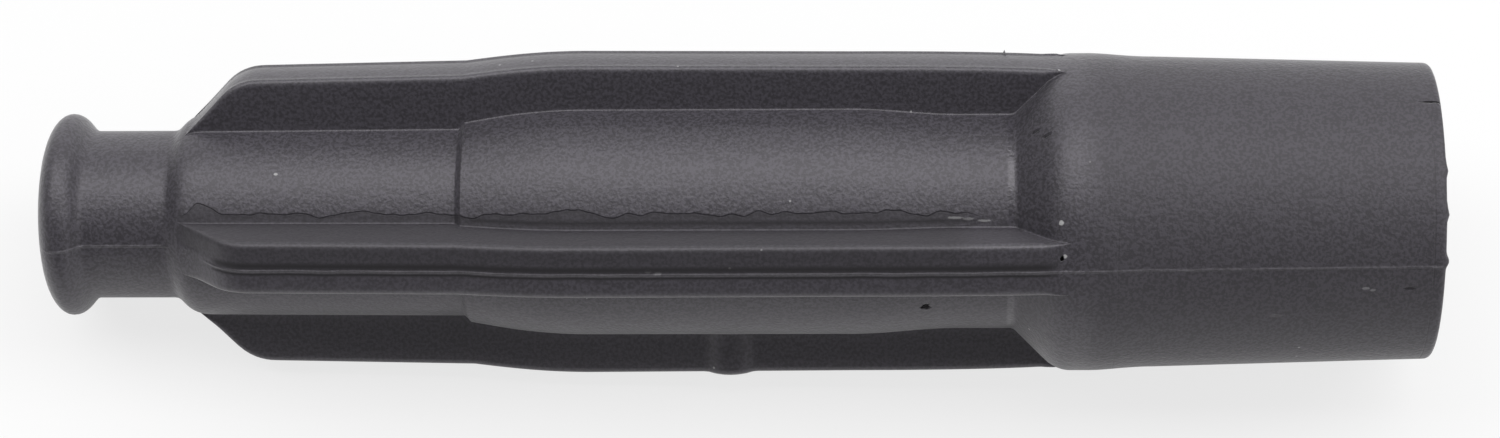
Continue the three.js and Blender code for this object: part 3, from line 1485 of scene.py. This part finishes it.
    def relief(self, bench: Bench, masks: RubberMasks, grain: Socket, scuffs: Socket) -> Socket:
        """Height of the grain, sunk at the strip, the scratches and the pits.

        Args:
            bench: The material's bench.
            masks: Where each look shows.
            grain: The grain's height.
            scuffs: The scuffs.

        Returns:
            The height.
        """
        depth = bench.math("MULTIPLY_ADD", masks.grained, 1 - self.rib_relief, self.rib_relief)
        height = bench.math("MULTIPLY", grain, depth)
        changes = (
            (masks.strip, self.strip_sink),
            (bench.math("MAXIMUM", masks.lines, scuffs), self.scratch_sink),
            (masks.dark, self.pit_sink),
        )
        for mask, sink in changes:
            height = bench.math("MULTIPLY_ADD", mask, -sink, height)
        return height


@dataclass
class BootMoulding:
    """The whole boot: one closed moulding with its ribs, boss, parting flash and bore."""

    name: str = "boot_moulding"
    size: BootSizes = BootSizes()
    rib: RibSizes = RibSizes()
    parting: PartingSizes = PartingSizes()
    rim: RimSizes = RimSizes()
    steps: MeshSteps = MeshSteps()
    merge_gap: float = 0.002
    thinnest_edge: float = 0.001
    sharp_angle: float = 55.0

    def loops(self) -> list[list[SectionPoint]]:
        """Every section of the closed wall.

        Returns:
            The sections, the first repeated at the end.
        """
        outlines = BootOutlines(self.size, self.rib, self.steps)
        tip = outlines.rib_tip().points
        section = BootSection(self.size, self.rib, self.parting, self.rim, self.steps, tip)
        return [section.loop(ring) for ring in outlines.rings()]

    def build(self, place: BootPlace) -> bpy.types.Object:
        """Rolls a grid into the moulding and lays it in the frame.

        Args:
            place: Where the boot's axis lies.

        Returns:
            The finished object, without its material.
        """
        loops = self.loops()
        across, along = len(loops[0]) - 1, len(loops) - 1
        bm = bmesh.new()
        layers = {mark: bm.verts.layers.float.new(mark.value) for mark in Mark}
        bmesh.ops.create_grid(bm, x_segments=across, y_segments=along, size=1.0)
        for vert in bm.verts:
            i = round((vert.co.y + 1) / 2 * along)
            j = round((vert.co.x + 1) / 2 * across)
            point = loops[i][j]
            vert.co = (point.station, point.y, point.z)
            for mark, layer in layers.items():
                vert[layer] = getattr(point, mark.name.lower())
        bmesh.ops.remove_doubles(bm, verts=bm.verts, dist=self.merge_gap)
        bmesh.ops.dissolve_degenerate(bm, edges=bm.edges, dist=self.thinnest_edge)
        bmesh.ops.transform(bm, matrix=place.matrix, verts=bm.verts)
        self.settle(bm)
        bmesh.ops.recalc_face_normals(bm, faces=bm.faces)
        mesh = bpy.data.meshes.new(self.name)
        bm.to_mesh(mesh)
        bm.free()
        mesh.shade_smooth()
        mesh.set_sharp_from_angle(angle=math.radians(self.sharp_angle))
        return put_in_scene(self.name, mesh)

    def settle(self, bm: bmesh.types.BMesh) -> None:
        """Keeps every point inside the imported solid's box, so that none sinks in the floor.

        Args:
            bm: The moulding, in its place.
        """
        low, high = CAD_BOX
        for vert in bm.verts:
            vert.co = [min(max(c, a), b) for c, a, b in zip(vert.co, low, high)]

    def dress(self, piece: bpy.types.Object, place: BootPlace) -> None:
        """Gives the moulding its rubber and its place in the frame's table.

        Args:
            piece: The moulding.
            place: Where the boot's axis lies.
        """
        piece.data.materials.append(RubberFinish().build(place))
        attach(piece, BODY)
        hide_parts(NODE)


@dataclass(frozen=True)
class Lamp:
    """A soft lamp, placed by its angle over the boot as seen from the lead's end.

    Angles are in degrees, distance and sides in metres, and power in watts.
    """

    name: str
    elevation: float
    azimuth: float
    distance: float
    length: float
    breadth: float
    power: float

    def build(self, target: Vector) -> None:
        """Hangs the lamp and turns it to the boot.

        Args:
            target: The point it is turned to.
        """
        data = bpy.data.lights.new(self.name, "AREA")
        data.shape = "RECTANGLE"
        data.size, data.size_y = self.length, self.breadth
        data.energy = self.power
        lamp = put_in_scene(self.name, data)
        e, a = math.radians(self.elevation), math.radians(self.azimuth)
        back = Vector((math.sin(a) * math.cos(e), -math.cos(a) * math.cos(e), math.sin(e)))
        lamp.location = target + back * self.distance
        lamp.rotation_euler = back.to_track_quat("Z", "Y").to_euler()


@dataclass(frozen=True)
class Studio:
    """Pale floor, plain surroundings and soft lamps."""

    target: tuple[float, float, float] = (0.0, 0.0, 0.012)
    floor_side: float = 6.0
    floor_colour: Colour = (0.88, 0.88, 0.88, 1.0)
    white: Colour = (1.0, 1.0, 1.0, 1.0)
    floor_glow: float = 0.75
    surround: float = 0.18
    lamps: tuple[Lamp, ...] = (
        Lamp("overhead_softbox", 104.5, 0.0, 0.75, 2.0, 0.5, 9.3),
        Lamp("rear_panel", 170.0, 0.0, 0.8, 1.6, 0.3, 2.4),
        Lamp("side_panel", 32.0, 90.0, 0.8, 0.5, 0.5, 1.3),
    )

    def build(self) -> None:
        """Sets up the floor, the surroundings and the lamps."""
        self.build_floor()
        self.build_world()
        for lamp in self.lamps:
            lamp.build(Vector(self.target))
        bpy.context.scene.view_settings.view_transform = "Standard"

    def build_floor(self) -> None:
        """A wide pale floor at the height that the boot lies on."""
        bm = bmesh.new()
        bmesh.ops.create_grid(bm, x_segments=2, y_segments=2, size=self.floor_side / 2)
        mesh = bpy.data.meshes.new("studio_floor")
        bm.to_mesh(mesh)
        bm.free()
        floor = put_in_scene("studio_floor", mesh)
        material = bpy.data.materials.new("pale_floor")
        bench = cleared_bench(material)
        lit = bench.node("ShaderNodeBsdfDiffuse", Color=self.floor_colour)
        plain = bench.node("ShaderNodeEmission", Color=self.white, Strength=1.0)
        path = bench.node("ShaderNodeLightPath").outputs
        seen = bench.math("MAXIMUM", path["Is Camera Ray"], path["Is Glossy Ray"])
        seen = bench.math("MAXIMUM", seen, path["Is Transmission Ray"])
        blend = bench.node("ShaderNodeMixShader", Fac=bench.math("MULTIPLY", seen, self.floor_glow))
        bench.feed(blend.inputs[1], lit.outputs[0])
        bench.feed(blend.inputs[2], plain.outputs[0])
        bench.node("ShaderNodeOutputMaterial", Surface=blend.outputs[0])
        mesh.materials.append(material)

    def build_world(self) -> None:
        """A plain grey all round."""
        world = bpy.data.worlds.new("surroundings")
        bpy.context.scene.world = world
        bench = cleared_bench(world)
        backdrop = bench.node("ShaderNodeBackground", Color=self.white, Strength=self.surround)
        bench.node("ShaderNodeOutputWorld", Surface=backdrop.outputs[0])


@dataclass(frozen=True)
class PhotoCamera:
    """The photograph's viewpoint: high over the boot's near side and close to it.

    Angles are in degrees, the distance and the aim in metres, and the lens in millimetres.
    """

    elevation: float = 66.0
    distance: float = 0.3216
    lens: float = 93.78
    roll: float = 0.878
    aim: tuple[float, float, float] = (0.0004, 0.0, 0.012)
    shift: Point = (0.00533, -0.00498)
    sensor: float = 36.0
    clip: Point = (0.01, 20.0)

    def build(self) -> None:
        """Sets up the scene's camera."""
        data = bpy.data.cameras.new("photo_camera")
        data.sensor_width = self.sensor
        data.lens = self.lens
        data.shift_x, data.shift_y = self.shift
        data.clip_start, data.clip_end = self.clip
        camera = put_in_scene("photo_camera", data)
        e, r = math.radians(self.elevation), math.radians(self.roll)
        back = Vector((0.0, -math.cos(e), math.sin(e)))
        level, rise = Vector((1.0, 0.0, 0.0)), Vector((0.0, math.sin(e), math.cos(e)))
        right = level * math.cos(r) + rise * math.sin(r)
        upward = rise * math.cos(r) - level * math.sin(r)
        turn = Matrix((right, upward, back)).transposed().to_4x4()
        camera.matrix_world = Matrix.Translation(Vector(self.aim) + back * self.distance) @ turn
        bpy.context.scene.camera = camera


def main() -> None:
    """Builds the camera, the studio and the boot."""
    logging.basicConfig(level=logging.INFO, format="%(message)s")
    PhotoCamera().build()
    place = BootPlace(frame["record"])
    moulding = BootMoulding()
    piece = moulding.build(place)
    moulding.dress(piece, place)
    counts = len(piece.data.vertices), len(piece.data.polygons)
    LOG.info("%s: %d vertices, %d faces", piece.name, *counts)
    Studio().build()
    LOG.info("studio set")


if __name__ == "__main__":
    main()
